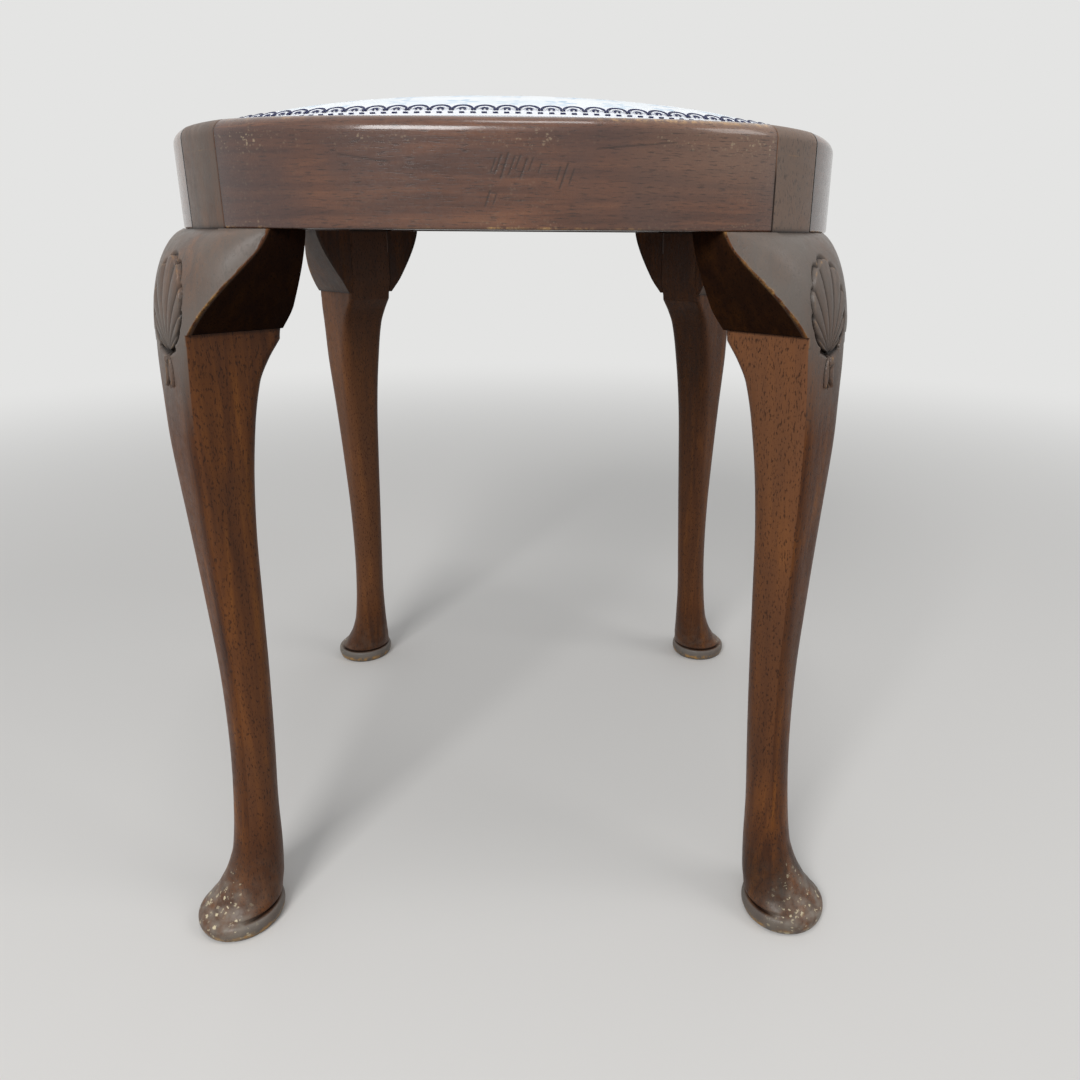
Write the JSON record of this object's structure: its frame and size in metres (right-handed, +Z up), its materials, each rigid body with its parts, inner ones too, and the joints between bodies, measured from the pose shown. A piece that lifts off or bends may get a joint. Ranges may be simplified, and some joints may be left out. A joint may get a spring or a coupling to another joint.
{
  "type": "dressing stool",
  "caption": "Low wooden dressing stool with carved cabriole legs, pad feet, a bowed seat frame and a lift-out upholstered seat.",
  "frame": {"origin": "on the floor, under the middle of the seat", "axes": "+Z up, -Y towards the front, +X towards the right hand of someone facing the stool's front"},
  "size_m": [0.3882, 0.3882, 0.48],
  "materials": {
    "polished_walnut": "satin polish, worn at the edges",
    "worn_walnut": "satin polish over open pores, rubbed and scuffed",
    "bare_beech": "sawn and planed, unfinished",
    "screw_steel": "plain steel, dulled",
    "jute_webbing": "coarse woven jute",
    "hessian": "open plain weave",
    "stuffing_felt": "matted felt and wadding",
    "printed_cotton": "smooth white cotton with a pale blue print",
    "navy_gimp": "woven scroll gimp in navy and white",
    "black_cambric": "thin matt black lining cloth"
  },
  "bodies": {
    "stool_frame": {"leg_front_left": "worn_walnut", "leg_front_right": "worn_walnut", "leg_back_left": "worn_walnut", "leg_back_right": "worn_walnut", "ear_front_left_by_front": "worn_walnut", "ear_front_left_by_left": "worn_walnut", "ear_front_right_by_front": "worn_walnut", "ear_front_right_by_right": "worn_walnut", "ear_back_left_by_back": "worn_walnut", "ear_back_left_by_left": "worn_walnut", "ear_back_right_by_back": "worn_walnut", "ear_back_right_by_right": "worn_walnut", "rail_front": "polished_walnut", "rail_back": "polished_walnut", "rail_left": "polished_walnut", "rail_right": "polished_walnut", "glue_block_front_left": "bare_beech", "glue_block_front_right": "bare_beech", "glue_block_back_left": "bare_beech", "glue_block_back_right": "bare_beech", "screw_front_left_by_front": "screw_steel", "screw_front_left_by_left": "screw_steel", "screw_front_right_by_front": "screw_steel", "screw_front_right_by_right": "screw_steel", "screw_back_left_by_back": "screw_steel", "screw_back_left_by_left": "screw_steel", "screw_back_right_by_back": "screw_steel", "screw_back_right_by_right": "screw_steel"},
    "drop_in_seat": {"seat_rail_front": "bare_beech", "seat_rail_back": "bare_beech", "seat_rail_left": "bare_beech", "seat_rail_right": "bare_beech", "webbing_across_first": "jute_webbing", "webbing_across_middle": "jute_webbing", "webbing_across_last": "jute_webbing", "webbing_along_first": "jute_webbing", "webbing_along_middle": "jute_webbing", "webbing_along_last": "jute_webbing", "hessian": "hessian", "seat_stuffing": "stuffing_felt", "seat_cover": "printed_cotton", "gimp_braid": "navy_gimp", "dust_cover": "black_cambric"}
  },
  "joints": [
    {"name": "seat_lift", "type": "slide", "parent": "stool_frame", "child": "drop_in_seat", "axis": [0, 0, 1], "range_m": [0, 0.06]}
  ]
}
